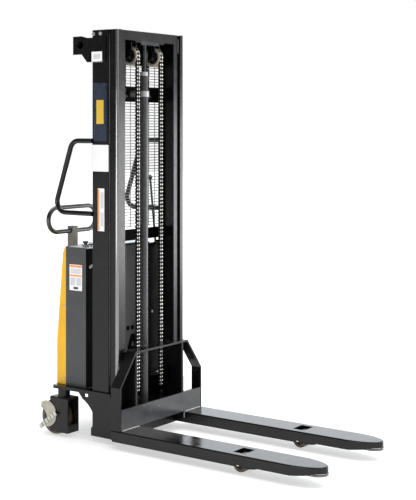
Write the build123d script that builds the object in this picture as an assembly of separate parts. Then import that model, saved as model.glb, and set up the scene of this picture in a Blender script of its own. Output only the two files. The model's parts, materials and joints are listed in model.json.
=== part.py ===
from build123d import *
import os
from math import cos, radians, sin, tan

# Two-stage walkie stacker: fork-over-leg chassis, nested mast, chain-lifted carriage.
# +Z up, forks point to -Y, +X is the right-hand side seen from the forks.
# Pieces are drawn with Y = 0 on the carriage's front face; save() then moves them so
# that the origin is on the floor, in the middle of the footprint.

# ---- driving dimensions, mm ----
LENGTH = 1790            # fork noses to the back of the push-handle post
HEIGHT = 2080            # mast lowered
WIDTH = 660              # over the forks
NOSE_Y = -1141           # fork noses
ORIGIN_SHIFT = -(NOSE_Y + LENGTH / 2)

# forks and support legs
FORK_WIDTH = 150
FORK_X = (WIDTH - FORK_WIDTH) / 2
FORK_TOP = 92
FORK_BOTTOM = 45
FORK_BACK = 60
FORK_SHEET = 8
FORK_ROUND = 6
NOSE_LENGTH = 180
NOSE_RISE = 18           # the nose's underside slopes up by this much
NOSE_RISE_Y = -985
WINDOW_SIZE = (84, 68)   # opening over the load wheel, X and Y
ROOT_GROOVE_Y = (-5, -2) # shallow groove in front of the cross plate
ROOT_GROOVE_DEPTH = 0.5
LEG_WIDTH = 110
LEG_TOP = 80
LEG_BOTTOM = 30
LEG_NOSE_Y = -790
LOAD_WHEEL_R = 40
LOAD_WHEEL_WIDTH = 70
LOAD_WHEEL_Y = -692
LOAD_AXLE_R = 8

# outer mast: channel rails with plates on their outer faces
RAIL_FRONT = 72
RAIL_DEPTH = 124
RAIL_FLANGE = 12
RAIL_INNER_X = 237
RAIL_OUTER_X = 267
RAIL_WEB = 10
RAIL_CORNER_R = 11.5     # round front corner of the outer rail
PLATE_T = 8
PLATE_FRONT = 124
PLATE_BACK = 232
PLATE_OUTER_X = RAIL_OUTER_X + PLATE_T
LUG_HOLE = (311, 2008)   # Y and Z of the lifting holes
LUG_HOLE_R = 21
LUG_SLEEVE_R = 27

# inner mast, open channels facing each other
INNER_FRONT = 83
INNER_DEPTH = 106
INNER_BACK = INNER_FRONT + INNER_DEPTH
INNER_FLANGE = 11
INNER_X = 196
INNER_OUTER_X = 231
INNER_BOTTOM = 90
TOP_BEAM_Z = 2031
INNER_BEAM_WALL = 10
INNER_TIE_Z = (112, 165)

# base and shelf
BASE_BOTTOM = 28
BASE_BACK = 241
BASE_WALL = 8
SIDE_PLATE_X = (267, 277)
SIDE_PLATE_FRONT = 80
SIDE_SLOT = (262, 288, 218, 235)     # Y and Z of the slot for the lashing strap
SHELF_Z = 240
SHELF_TOP = 256
SHELF_X = 288
SHELF_BACK = 505

# cylinder, chains and pulleys
CYL_Y = 125
BARREL_R = 22.5
BARREL_BORE = 18
PORT_END = 152           # face of the oil port, on the back of the barrel
PORT_Z = 98
ROD_R = 13
GLAND_Z = 1856
GLAND_TOP = 1877
HEAD_PLATE_Z = 2013
PISTON_Z = (205, 235)
CLAMP_Z = (1747, 1777)
CHAIN_X = 93
CHAIN_WIDTH = 18
CHAIN_SIDES = (CHAIN_X - CHAIN_WIDTH / 2, CHAIN_X + CHAIN_WIDTH / 2)
CHAIN_DEPTH = 18
PULLEY_Y = 135
PULLEY_Z = 1957
PULLEY_R = 51
PITCH_R = 45
PULLEY_FLANGE = 4
PULLEY_AXLE_R = 12.5
HANGER_X = (71, 115)     # outer faces of the two plates beside a pulley
HANGER_T = 6
CHAIN_FRONT_Y = PULLEY_Y - PITCH_R
CHAIN_REAR_Y = PULLEY_Y + PITCH_R
FRONT_ANCHOR_TOP = 215
REAR_ANCHOR_TOP = 1790
ANCHOR_BOLT_R = 6

# rollers
MAST_ROLLER_R = 49.4
MAST_ROLLER_Z = 150
MAST_ROLLER_Y = RAIL_FRONT + RAIL_DEPTH / 2
MAST_PIN_R = 16
CARRIAGE_PIN_R = 14
CARRIAGE_ROLLER_R = 41.5
CARRIAGE_ROLLER_Y = INNER_FRONT + INNER_DEPTH / 2
CARRIAGE_ROLLER_LOW_Z = 150
CARRIAGE_ROLLER_HIGH_Z = 410

# cross-members and mesh guard
CROSS_Y = (200, 210)
HEAD_CROSS_Z = (1912, 2041)
TOP_CROSS_Z = (1722, 1800)
LOW_CROSS_Z = (995, 1053)
FOOT_PLATE_Z = (125, 256)
LEVER_EAR_T = 8
MESH_WIRE = 4
MESH_PITCH_Z = 15
MESH_PITCH_X = 50
MESH_LOW_Z = 1068
MESH_HIGH_Z = 2073

# carriage and backrest
CROSS_PLATE_TOP = 197
CROSS_PLATE_T = 16
CARRIAGE_PLATE_X = (180, 192)
BACKREST_TOP = 467
BACKREST_BAR = 10
BACKREST_BEND_Z = 305
BACKREST_TOP_X = 210

# power unit
BOX_X = 250
BOX_FRONT = 290
BOX_BACK = 440
BOX_TOP = 968
BOX_SHEET = 3
PUMP_COVER_X = (140, 284)
PUMP_COVER_FRONT = 264
COVER_BACK = 504
COVER_TOP = 975
PANEL_TOP = 972
BUTTON_AT = (-175, 372)
KEY_AT = (-195, 318)

# side handles and push handle
TUBE_R = 13
HANDLE_X = 275
HANDLE_TOP_Z = 1520
HANDLE_LOW_Z = 1151
HANDLE_BEND = 55
POST_FRONT = 609
POST_SIZE = 40
POST_BOTTOM = 200
POST_TOP = 1054
ARM_FRONT = 380
STAY_FRONT = 471
STAY_Z = (852, 880)
LOOP_Y = POST_FRONT + POST_SIZE / 2
LOOP_Z = 1093
LOOP_R = 65
LOOP_STRAIGHT = 119
LOOP_TUBE_R = 12.5

# casters
CASTER_X = 258
CASTER_Y = 445
WHEEL_Y = 493
WHEEL_R = 90
WHEEL_WIDTH = 50
WHEEL_HUB_R = 62
WHEEL_AXLE_R = 10
YOKE_FRONT = 381
YOKE_BACK = 505
YOKE_TOP = 200
YOKE_BOTTOM = 20
YOKE_HALF = 41
YOKE_SHEET = 8
KINGPIN_R = 15
TURNTABLE_R = 31.5
BRAKE_Y = 482
BRAKE_Z = 104
BRAKE_PIN_R = 5
BRAKE_X = CASTER_X + YOKE_HALF + 1.2

# lift lever
LEVER_X = 240
LEVER_Y = 244
LEVER_Z = 960
LEVER_LENGTH = 360
LEVER_LEAN = 6
LEVER_PIN_R = 5

# oil hose from the cylinder's foot, and control cable from the mast's lower cross plate to
# the front of the power box
HOSE_R = 6
HOSE_END = (118, 360)    # X and Y where it goes up through the shelf
HOSE_HOLE_R = 9
HOSE_ROUTE = [(0, PORT_END, PORT_Z), (0, 196, PORT_Z), (20, 240, 100), (60, 290, 118),
              (96, 335, 152), (*HOSE_END, 202), (*HOSE_END, SHELF_TOP + 3)]
CABLE_R = 3.5
CABLE_ROUTE = [(-214, 243, 1040), (-222, 257, 1012), (-231, 260, 980), (-238, 248, 952),
               (-241, 243, 922), (-239, 252, 894), (-234, 276, 880)]

RUN_FIT = 0.05           # radial clearance of a running fit


# ---- helpers ----
def save(node, *solids):
    """Write one node, which holds one or more separate solids."""
    placed = [Pos(0, ORIGIN_SHIFT, 0) * solid for solid in solids]
    shape = placed[0] if len(placed) == 1 else Compound(children=placed)
    export_step(shape, f"parts/{node}.step")


def block(x0, x1, y0, y1, z0, z1):
    return Pos((x0 + x1) / 2, (y0 + y1) / 2, (z0 + z1) / 2) * Box(x1 - x0, y1 - y0, z1 - z0)


def rod_x(radius, x0, x1, y, z):
    return Pos((x0 + x1) / 2, y, z) * Rot(0, 90, 0) * Cylinder(radius, x1 - x0)


def rod_y(radius, x, y0, y1, z):
    return Pos(x, (y0 + y1) / 2, z) * Rot(90, 0, 0) * Cylinder(radius, y1 - y0)


def rod_z(radius, x, y, z0, z1):
    return Pos(x, y, (z0 + z1) / 2) * Cylinder(radius, z1 - z0)


def hex_x(across, x0, x1, y, z):
    head = extrude(RegularPolygon(across / 2, 6, major_radius=False), x1 - x0)
    return Pos(x0, y, z) * Rot(0, 90, 0) * head


def hex_z(across, x, y, z0, z1):
    return Pos(x, y, z0) * extrude(RegularPolygon(across / 2, 6, major_radius=False), z1 - z0)


def plate_yz(points, x0, x1):
    """A flat plate whose outline is given in Y and Z, from x0 to x1."""
    face = make_face(Polyline([(x0, y, z) for y, z in points], close=True))
    return extrude(face, amount=x1 - x0, dir=(1, 0, 0))


def flip(shape):
    return mirror(shape, Plane.YZ)


def save_pair(node, *right):
    """Two nodes: the right-hand pieces, and their mirror images on the left."""
    save(node + "_right", *right)
    save(node + "_left", *[flip(piece) for piece in right])


def save_both(node, *right):
    """One node that holds the right-hand pieces and their mirror images."""
    save(node, *right, *[flip(piece) for piece in right])


def cord_wire(points):
    """Straight runs joined by tangent arcs, each as large as its two runs allow."""
    pts = [Vector(*p) for p in points]
    edges = []
    start = pts[0]
    for before, corner, after in zip(pts, pts[1:], pts[2:]):
        u1 = (corner - before).normalized()
        u2 = (after - corner).normalized()
        turn = radians(u1.get_angle(u2))
        reach = 0.45 * min((corner - before).length, (after - corner).length)
        radius = reach / tan(turn / 2)
        centre = corner + (u2 - u1).normalized() * (radius / cos(turn / 2))
        a = corner - u1 * reach
        b = corner + u2 * reach
        edges.append(Line(start, a))
        edges.append(ThreePointArc(a, centre + (corner - centre).normalized() * radius, b))
        start = b
    edges.append(Line(start, pts[-1]))
    return Wire(edges)


def tube_along(wire, radius):
    section = Plane(origin=wire @ 0, z_dir=wire % 0) * Circle(radius)
    return sweep(section, path=wire)


# ---- chassis ----
def make_base_beam():
    x = RAIL_OUTER_X
    inner = x - BASE_WALL
    beam = block(-x, x, RAIL_FRONT, BASE_BACK, BASE_BOTTOM, LEG_TOP)
    beam -= block(-inner, inner, RAIL_FRONT + BASE_WALL, BASE_BACK - BASE_WALL,
                  BASE_BOTTOM + BASE_WALL, LEG_TOP - BASE_WALL)
    save("base_beam", beam)


def make_side_plates():
    """Deep plates beside the foot of the mast, with a curved gusset under the shelf."""
    x0, x1 = SIDE_PLATE_X
    outline = Polyline(
        (x0, 330, SHELF_Z), (x0, PLATE_BACK, SHELF_Z), (x0, PLATE_BACK, SHELF_TOP),
        (x0, SIDE_PLATE_FRONT, SHELF_TOP), (x0, SIDE_PLATE_FRONT, BASE_BOTTOM),
        (x0, BASE_BACK, BASE_BOTTOM), (x0, BASE_BACK, 66), (x0, 231, 78), (x0, 231, 146))
    curve = ThreePointArc((x0, 231, 146), (x0, 262, 182), (x0, 299, 206))
    lip = Line((x0, 299, 206), (x0, 330, SHELF_Z))
    plate = extrude(make_face([outline, curve, lip]), amount=x1 - x0, dir=(1, 0, 0))
    plate -= block(x0, x1, *SIDE_SLOT)
    save_pair("side_plate", plate)


def make_shelf():
    shelf = block(-SHELF_X, SHELF_X, PLATE_BACK, SHELF_BACK, SHELF_Z, SHELF_TOP)
    corners = shelf.edges().filter_by(Axis.Z).group_by(Axis.Y)[-1]
    shelf = fillet(corners, 18)
    strip = SHELF_X - SIDE_PLATE_X[1]
    for x in (SIDE_PLATE_X[1], -SHELF_X):
        shelf += block(x, x + strip, 103, PLATE_BACK, SHELF_Z, SHELF_TOP)
    shelf -= rod_z(HOSE_HOLE_R, *HOSE_END, SHELF_Z, SHELF_TOP)
    save("shelf_plate", shelf)


def make_support_legs():
    half = LEG_WIDTH / 2
    wall = BASE_WALL
    x0, x1 = FORK_X - half, FORK_X + half
    leg = block(x0, x1, LEG_NOSE_Y, RAIL_FRONT, LEG_BOTTOM, LEG_TOP)
    leg = fillet(leg.edges().filter_by(Axis.Z).group_by(Axis.Y)[0], 30)
    leg -= block(x0 + wall, x1 - wall, LOAD_WHEEL_Y + 70, RAIL_FRONT - wall,
                 LEG_BOTTOM + wall, LEG_TOP - wall)
    roll = LOAD_WHEEL_WIDTH / 2
    slot = roll + 3
    reach = LOAD_WHEEL_R + 8
    leg -= block(FORK_X - slot, FORK_X + slot, LOAD_WHEEL_Y - reach, LOAD_WHEEL_Y + reach,
                 LEG_BOTTOM, LEG_TOP)
    leg -= rod_x(LOAD_AXLE_R, x0, x1, LOAD_WHEEL_Y, LOAD_WHEEL_R)
    save_pair("support_leg", leg)
    save_both("load_wheel_axles", rod_x(LOAD_AXLE_R, x0 + 2, x1 - 2, LOAD_WHEEL_Y, LOAD_WHEEL_R))
    wheel = rod_x(LOAD_WHEEL_R, FORK_X - roll, FORK_X + roll, LOAD_WHEEL_Y, LOAD_WHEEL_R)
    wheel = chamfer(wheel.edges().filter_by(GeomType.CIRCLE), 3)
    wheel -= rod_x(LOAD_AXLE_R + RUN_FIT, x0, x1, LOAD_WHEEL_Y, LOAD_WHEEL_R)
    save_pair("load_wheel", wheel)


# ---- outer mast ----
def channel(x_open, x_web, y_front, depth, web, flange, z0, z1):
    """A welded vertical channel that opens toward the middle: front flange, web, rear flange."""
    y_back = y_front + depth
    front = block(x_open, x_web, y_front, y_front + flange, z0, z1)
    middle = block(x_web - web, x_web, y_front + flange, y_back - flange, z0, z1)
    return front, middle, block(x_open, x_web, y_back - flange, y_back, z0, z1)


def make_outer_mast():
    front, *rest = channel(RAIL_INNER_X, RAIL_OUTER_X, RAIL_FRONT, RAIL_DEPTH, RAIL_WEB, RAIL_FLANGE,
                           LEG_TOP, HEIGHT)
    corners = front.edges().filter_by(Axis.Z).group_by(Axis.X)[-1]
    front = fillet(corners.sort_by(Axis.Y)[0], RAIL_CORNER_R)
    save_pair("outer_rail", front, *rest)
    plate = block(RAIL_OUTER_X, PLATE_OUTER_X, PLATE_FRONT, PLATE_BACK, SHELF_TOP, HEIGHT)
    save_both("mast_plates", plate)
    lug = plate_yz([(140, 1918), (262, 1918), (300, 1959), (359, 1959), (359, 2052), (300, 2052),
                    (262, 2042), (140, 2042)], PLATE_OUTER_X, PLATE_OUTER_X + PLATE_T)
    lug -= rod_x(LUG_HOLE_R, PLATE_OUTER_X, PLATE_OUTER_X + PLATE_T, *LUG_HOLE)
    sleeve = rod_x(LUG_SLEEVE_R, -PLATE_OUTER_X, PLATE_OUTER_X, *LUG_HOLE)
    sleeve -= rod_x(LUG_SLEEVE_R - 5, -PLATE_OUTER_X, PLATE_OUTER_X, *LUG_HOLE)
    save("lifting_lugs", lug, flip(lug), sleeve)
    pad_front = RAIL_FRONT + RAIL_FLANGE + 1
    pad_back = RAIL_FRONT + RAIL_DEPTH - RAIL_FLANGE - 1
    pad = block(INNER_OUTER_X + 0.5, RAIL_OUTER_X - RAIL_WEB, pad_front, pad_back, 1985, 2060)
    save_both("guide_pads", pad)


def make_crossmembers():
    """Four cross plates between the mast plates, and the ear that carries the lever's pin."""
    x = RAIL_OUTER_X
    head = block(-x, x, *CROSS_Y, *HEAD_CROSS_Z)
    top = block(-x, x, *CROSS_Y, *TOP_CROSS_Z)
    low = block(-x, x, PLATE_BACK - 10, PLATE_BACK, *LOW_CROSS_Z)
    foot = block(-x, x, PLATE_BACK - 10, PLATE_BACK, *FOOT_PLATE_Z)
    inner = x - LEVER_EAR_T
    ear = block(inner, x, 215, LEVER_Y + 14, LEVER_Z - 18, LEVER_Z + 18)
    pin = rod_x(LEVER_PIN_R, LEVER_X - 11, inner, LEVER_Y, LEVER_Z)
    save("mast_crossmembers", head, top, low, foot, ear + pin)


def make_mesh_guard():
    """Welded wire grid: level wires lie on the mast plates, upright wires lie behind them."""
    r = MESH_WIRE / 2
    wires = []
    z = MESH_LOW_Z
    while z <= MESH_HIGH_Z:
        near_handle = min(abs(z - HANDLE_TOP_Z), abs(z - HANDLE_LOW_Z)) < TUBE_R + MESH_WIRE
        half = HANDLE_X - TUBE_R - MESH_WIRE if near_handle else PLATE_OUTER_X - 2
        wires.append(rod_x(r, -half, half, PLATE_BACK + r, z))
        z += MESH_PITCH_Z
    for i in range(-5, 5):
        x = (i + 0.5) * MESH_PITCH_X
        wires.append(rod_z(r, x, PLATE_BACK + 3 * r, MESH_LOW_Z - 6, MESH_HIGH_Z))
    save("mesh_guard", *wires)


def make_side_handles():
    """A bent tube on each side, butted against the rear edge of the mast plate."""
    x = HANDLE_X
    path = FilletPolyline(
        (x, PLATE_BACK, HANDLE_TOP_Z), (x, 370, HANDLE_TOP_Z),
        (x, 499, HANDLE_LOW_Z), (x, PLATE_BACK, HANDLE_LOW_Z), radius=HANDLE_BEND)
    save_pair("side_handle", tube_along(Wire(path.edges()), TUBE_R))


# ---- lift cylinder ----
def make_cylinder():
    barrel = rod_z(BARREL_R, 0, CYL_Y, LEG_TOP, GLAND_Z) + rod_y(9, 0, CYL_Y, PORT_END, PORT_Z)
    barrel -= rod_z(BARREL_BORE, 0, CYL_Y, LEG_TOP + 20, GLAND_Z)
    save("cylinder_barrel", barrel)
    gland = rod_z(BARREL_R - 1, 0, CYL_Y, GLAND_Z, GLAND_TOP)
    gland -= rod_z(ROD_R + RUN_FIT, 0, CYL_Y, GLAND_Z, GLAND_TOP)
    save("cylinder_gland", gland)
    rod = rod_z(ROD_R, 0, CYL_Y, PISTON_Z[1], HEAD_PLATE_Z)
    rod += rod_z(BARREL_BORE - RUN_FIT, 0, CYL_Y, *PISTON_Z)
    head_x = HANGER_X[0]
    head = block(-head_x, head_x, INNER_FRONT, INNER_BACK, HEAD_PLATE_Z, TOP_BEAM_Z)
    save("piston_rod", rod, head)
    strap_r = BARREL_R + 5
    ring = rod_z(strap_r, 0, CYL_Y, *CLAMP_Z)
    ring += block(-strap_r, strap_r, CYL_Y, CROSS_Y[0], *CLAMP_Z)
    ring -= rod_z(BARREL_R, 0, CYL_Y, *CLAMP_Z)
    ring -= block(-BARREL_R, BARREL_R, CYL_Y, 150, *CLAMP_Z)
    nuts = [hex_x(13, -strap_r - 7, -strap_r, y, sum(CLAMP_Z) / 2) for y in (160, 182)]
    save("cylinder_clamp", ring, *nuts)


# ---- inner mast ----
def make_inner_mast():
    rail = channel(INNER_X, INNER_OUTER_X, INNER_FRONT, INNER_DEPTH, RAIL_WEB, INNER_FLANGE,
                   INNER_BOTTOM, HEIGHT)
    web_face = RAIL_OUTER_X - RAIL_WEB
    at = (MAST_ROLLER_Y, MAST_ROLLER_Z)
    pin = rod_x(MAST_PIN_R, INNER_OUTER_X, web_face - 1, *at)
    save_pair("inner_rail", *rail, pin)
    roller = rod_x(MAST_ROLLER_R, RAIL_INNER_X + 1.5, web_face - 1.5, *at)
    roller -= rod_x(MAST_PIN_R + RUN_FIT, INNER_OUTER_X, RAIL_OUTER_X, *at)
    save_both("mast_rollers", roller)
    wall = INNER_BEAM_WALL
    beam = block(-INNER_X, INNER_X, INNER_FRONT, INNER_BACK, TOP_BEAM_Z, HEIGHT)
    beam -= block(-INNER_X, INNER_X, INNER_FRONT + wall, INNER_BACK - wall, TOP_BEAM_Z, HEIGHT - wall)
    tie = block(-INNER_X, INNER_X, INNER_BACK - wall, INNER_BACK, *INNER_TIE_Z)
    save("inner_crossmembers", beam, tie)


def make_pulleys():
    half = CHAIN_WIDTH / 2 + 0.6
    outer = half + PULLEY_FLANGE
    at = (PULLEY_Y, PULLEY_Z)
    sheave = rod_x(PULLEY_R, CHAIN_X - outer, CHAIN_X + outer, *at)
    groove = rod_x(PULLEY_R, CHAIN_X - half, CHAIN_X + half, *at)
    groove -= rod_x(PITCH_R - CHAIN_DEPTH / 2 - 0.4, CHAIN_X - half, CHAIN_X + half, *at)
    sheave -= groove
    sheave -= rod_x(PULLEY_AXLE_R + RUN_FIT, CHAIN_X - outer, CHAIN_X + outer, *at)
    save_pair("chain_pulley", sheave)
    x0, x1 = HANGER_X
    hanger_in = block(x0, x0 + HANGER_T, 112, 158, 1930, TOP_BEAM_Z)
    hanger_in -= rod_x(PULLEY_AXLE_R, x0, x0 + HANGER_T, *at)
    hanger_out = Pos(x1 - x0 - HANGER_T, 0, 0) * hanger_in
    tie = block(x0, x1, INNER_FRONT, INNER_BACK, TOP_BEAM_Z - 8, TOP_BEAM_Z)
    axle = rod_x(PULLEY_AXLE_R, x0, x1, *at)
    save_both("pulley_supports", hanger_in + hanger_out + tie, axle)


def chain_strand(y, z0, z1):
    x0, x1 = CHAIN_SIDES
    return block(x0, x1, y - CHAIN_DEPTH / 2, y + CHAIN_DEPTH / 2, z0, z1)


def make_chains():
    outer = PITCH_R + CHAIN_DEPTH / 2
    inner = PITCH_R - CHAIN_DEPTH / 2
    wrap = rod_x(outer, *CHAIN_SIDES, PULLEY_Y, PULLEY_Z)
    wrap -= rod_x(inner, *CHAIN_SIDES, PULLEY_Y, PULLEY_Z)
    wrap -= block(*CHAIN_SIDES, PULLEY_Y - outer, PULLEY_Y + outer, PULLEY_Z - outer, PULLEY_Z)
    save_both("front_chains", wrap + chain_strand(CHAIN_FRONT_Y, FRONT_ANCHOR_TOP, PULLEY_Z))
    save_both("rear_chains", chain_strand(CHAIN_REAR_Y, REAR_ANCHOR_TOP, PULLEY_Z))


def chain_anchor(y, wall_y, top):
    """Threaded anchor: a clevis head on a bolt held in a shelf plate welded to wall_y."""
    y0, y1 = sorted((y - 12 if wall_y > y else y + 12, wall_y))
    shelf = block(CHAIN_X - 16, CHAIN_X + 16, y0, y1, top - 45, top - 33)
    bolt = rod_z(ANCHOR_BOLT_R, CHAIN_X, y, top - 75, top - 18)
    head = block(*CHAIN_SIDES, y - 8, y + 8, top - 20, top)
    nut = hex_z(18, CHAIN_X, y, top - 55, top - 45)
    return shelf + bolt + head + nut


def make_chain_anchors():
    save_both("chain_anchors_rear", chain_anchor(CHAIN_REAR_Y, CROSS_Y[0], REAR_ANCHOR_TOP))
    save_both("chain_anchors_front", chain_anchor(CHAIN_FRONT_Y, CROSS_PLATE_T, FRONT_ANCHOR_TOP))


# ---- carriage ----
def fork_outline(width, back, nose):
    centre = NOSE_Y + NOSE_LENGTH
    body = Pos(FORK_X, (back + centre) / 2) * Rectangle(width, back - centre)
    return body + Pos(FORK_X, centre) * Ellipse(width / 2, nose)


def make_forks():
    """Inverted troughs with elliptical noses and a window over the load wheel."""
    fork = extrude(fork_outline(FORK_WIDTH, FORK_BACK, NOSE_LENGTH), FORK_TOP - FORK_BOTTOM)
    fork = Pos(0, 0, FORK_BOTTOM) * fork
    top = fork.faces().sort_by(Axis.Z)[-1]
    fork = fillet(top.edges().filter_by_position(Axis.Y, NOSE_Y - 1, FORK_BACK - 1), FORK_ROUND)
    trough = extrude(fork_outline(FORK_WIDTH - 2 * FORK_SHEET, FORK_BACK, NOSE_LENGTH - FORK_SHEET),
                     FORK_TOP - FORK_BOTTOM - FORK_SHEET)
    fork -= Pos(0, 0, FORK_BOTTOM) * trough
    half_x, half_y = WINDOW_SIZE[0] / 2, WINDOW_SIZE[1] / 2
    fork -= block(FORK_X - half_x, FORK_X + half_x, LOAD_WHEEL_Y - half_y, LOAD_WHEEL_Y + half_y,
                  FORK_BOTTOM, FORK_TOP)
    x0, x1 = FORK_X - FORK_WIDTH, FORK_X + FORK_WIDTH
    rise = plate_yz([(NOSE_Y - 5, FORK_BOTTOM - 1), (NOSE_RISE_Y, FORK_BOTTOM - 1),
                     (NOSE_Y - 5, FORK_BOTTOM + NOSE_RISE)], x0, x1)
    fork -= block(x0, x1, *ROOT_GROOVE_Y, FORK_TOP - ROOT_GROOVE_DEPTH, FORK_TOP)
    save_pair("fork", fork - rise)


def make_carriage():
    """Cross plate with two upright plates whose stub pins carry the rollers."""
    x0, x1 = CARRIAGE_PLATE_X
    half = WIDTH / 2 - BACKREST_BAR
    cross = block(-half, half, 0, CROSS_PLATE_T, FORK_TOP, CROSS_PLATE_TOP)
    outline = [(CROSS_PLATE_T, FORK_TOP + 3), (168, FORK_TOP + 3), (168, 205), (90, 250),
               (90, 320), (168, 365), (168, 450), (CROSS_PLATE_T, 457)]
    upright = plate_yz(outline, x0, x1)
    for z in (CARRIAGE_ROLLER_LOW_Z, CARRIAGE_ROLLER_HIGH_Z):
        upright += rod_x(CARRIAGE_PIN_R, x1, INNER_OUTER_X - RAIL_WEB - 1, CARRIAGE_ROLLER_Y, z)
    save("carriage_frame", cross, upright, flip(upright))
    for node, z in (("lower", CARRIAGE_ROLLER_LOW_Z), ("upper", CARRIAGE_ROLLER_HIGH_Z)):
        web_face = INNER_OUTER_X - RAIL_WEB
        roller = rod_x(CARRIAGE_ROLLER_R, INNER_X + 2, web_face - 1.5, CARRIAGE_ROLLER_Y, z)
        roller -= rod_x(CARRIAGE_PIN_R + RUN_FIT, INNER_X, INNER_OUTER_X, CARRIAGE_ROLLER_Y, z)
        save_both(f"carriage_rollers_{node}", roller)


def make_backrest():
    """A flat bar bent over the carriage, standing on the roots of the forks."""
    half = WIDTH / 2
    corners = [(half, FORK_TOP), (half, BACKREST_BEND_Z), (BACKREST_TOP_X, BACKREST_TOP)]
    ring = [(-x, 0, z) for x, z in corners] + [(x, 0, z) for x, z in reversed(corners)]
    outer = make_face(Polyline(*ring, close=True))
    inner = offset(outer, -BACKREST_BAR)
    bar = extrude(outer, amount=FORK_BACK, dir=(0, 1, 0))
    bar -= extrude(inner, amount=FORK_BACK, dir=(0, 1, 0))
    foot_x = half - BACKREST_BAR
    bar -= block(-foot_x, foot_x, 0, FORK_BACK, FORK_TOP, FORK_TOP + 2 * BACKREST_BAR)
    save("backrest", bar)


# ---- power unit ----
def make_power_box():
    box = block(-BOX_X, BOX_X, BOX_FRONT, BOX_BACK, SHELF_TOP, BOX_TOP)
    box = fillet(box.edges().filter_by(Axis.Z).group_by(Axis.Y)[0], 10)
    s = BOX_SHEET
    box -= block(-BOX_X + s, BOX_X - s, BOX_FRONT + s, BOX_BACK, SHELF_TOP + s, BOX_TOP - s)
    box -= rod_z(HOSE_HOLE_R, *HOSE_END, SHELF_TOP, SHELF_TOP + s)
    save("power_box", box)


def make_pump_cover():
    """A folded tray over the right part of the box's front, closing the gap behind the mast."""
    x0, x1 = PUMP_COVER_X
    z0, z1 = SHELF_TOP + 2, BOX_TOP - 6
    s = BOX_SHEET
    tray = block(x0, x1, PUMP_COVER_FRONT, BOX_FRONT, z0, z1)
    tray -= block(x0 + s, x1 - s, PUMP_COVER_FRONT + s, BOX_FRONT, z0 + s, z1 - s)
    save("pump_cover", tray)


def cover_profile(inset):
    y0, z0 = BOX_BACK, SHELF_TOP + inset
    y1, top = COVER_BACK - inset, COVER_TOP - inset
    return [(y0, z0), (y1, z0), (y1, 482), (462 - inset, 940), (452 - inset, 962), (BOX_BACK, top)]


def make_rear_cover():
    """Thin shell over the back of the power box, sloping in toward its top."""
    s = BOX_SHEET
    cover = plate_yz(cover_profile(0), -BOX_X, BOX_X)
    cover -= plate_yz(cover_profile(s), -BOX_X + s, BOX_X - s)
    save("rear_cover", cover)


def make_console():
    """Top panel with the collars of the stop button and the key switch."""
    panel = block(-BOX_X + 8, BOX_X - 8, BOX_FRONT + 8, BOX_BACK, BOX_TOP, PANEL_TOP)
    bx, by = BUTTON_AT
    kx, ky = KEY_AT
    panel += rod_z(17, bx, by, PANEL_TOP, PANEL_TOP + 8) + rod_z(14, kx, ky, PANEL_TOP, PANEL_TOP + 10)
    panel -= rod_z(8.3, bx, by, PANEL_TOP, PANEL_TOP + 8)
    panel -= rod_z(4 + RUN_FIT, kx, ky, PANEL_TOP, PANEL_TOP + 10)
    save("console_panel", panel)
    stem = rod_z(8, bx, by, PANEL_TOP + 5, PANEL_TOP + 14)
    save("stop_button", stem + rod_z(16, bx, by, PANEL_TOP + 14, PANEL_TOP + 26))
    key = rod_z(12, kx, ky, PANEL_TOP + 10.3, PANEL_TOP + 16) + rod_z(4, kx, ky, PANEL_TOP + 1, PANEL_TOP + 12)
    key += block(kx - 3, kx + 3, ky - 11, ky + 11, PANEL_TOP + 16, PANEL_TOP + 26)
    save("key_switch", key)


def make_power_contents():
    """Two battery blocks, the valve block with its motor, and the oil tank."""
    floor = SHELF_TOP + BOX_SHEET
    left = block(-238, -130, 300, 430, floor, 470)
    right = block(-126, -18, 300, 430, floor, 470)
    save("battery", left, right)
    valve = block(70, 170, 315, 405, floor, floor + 50)
    motor = rod_z(52, 120, 362, floor + 50, floor + 210)
    tank = block(30, BOX_X - BOX_SHEET, 300, 425, 500, 640)
    save("pump_unit", valve, motor, tank)


def make_hoses():
    """The cylinder's oil hose and the control cable between mast and power box."""
    save("hydraulic_hose", tube_along(cord_wire(HOSE_ROUTE), HOSE_R))
    save("control_cable", tube_along(cord_wire(CABLE_ROUTE), CABLE_R))


def gland(point, direction):
    """A short sleeve that starts where the cable ends and runs into the wall behind it."""
    sleeve = Cylinder(7, 24, align=(Align.CENTER, Align.CENTER, Align.MIN))
    return Plane(origin=point, z_dir=direction) * sleeve


def make_fasteners():
    """Bolt heads on the mast plates, screws in the rear cover, and the cable's two glands."""
    bolts = [hex_x(17, PLATE_OUTER_X, PLATE_OUTER_X + 7, y, 2060) for y in (175, 222)]
    screws = [rod_x(6, BOX_X, BOX_X + 3, 453, z) for z in (289, 668)]
    cover_bolt = rod_y(7, 230, PUMP_COVER_FRONT - 5, PUMP_COVER_FRONT, 592)
    right = bolts + screws
    ends = [Vector(*point) for point in CABLE_ROUTE]
    mast_gland = gland(ends[0], ends[0] - ends[1]) - block(-300, 0, 200, PLATE_BACK, 990, 1080)
    box_gland = gland(ends[-1], ends[-1] - ends[-2]) - block(-300, 0, BOX_FRONT, BOX_BACK, 800, 960)
    save("fasteners", *right, *[flip(piece) for piece in right], cover_bolt, mast_gland, box_gland)


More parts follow.
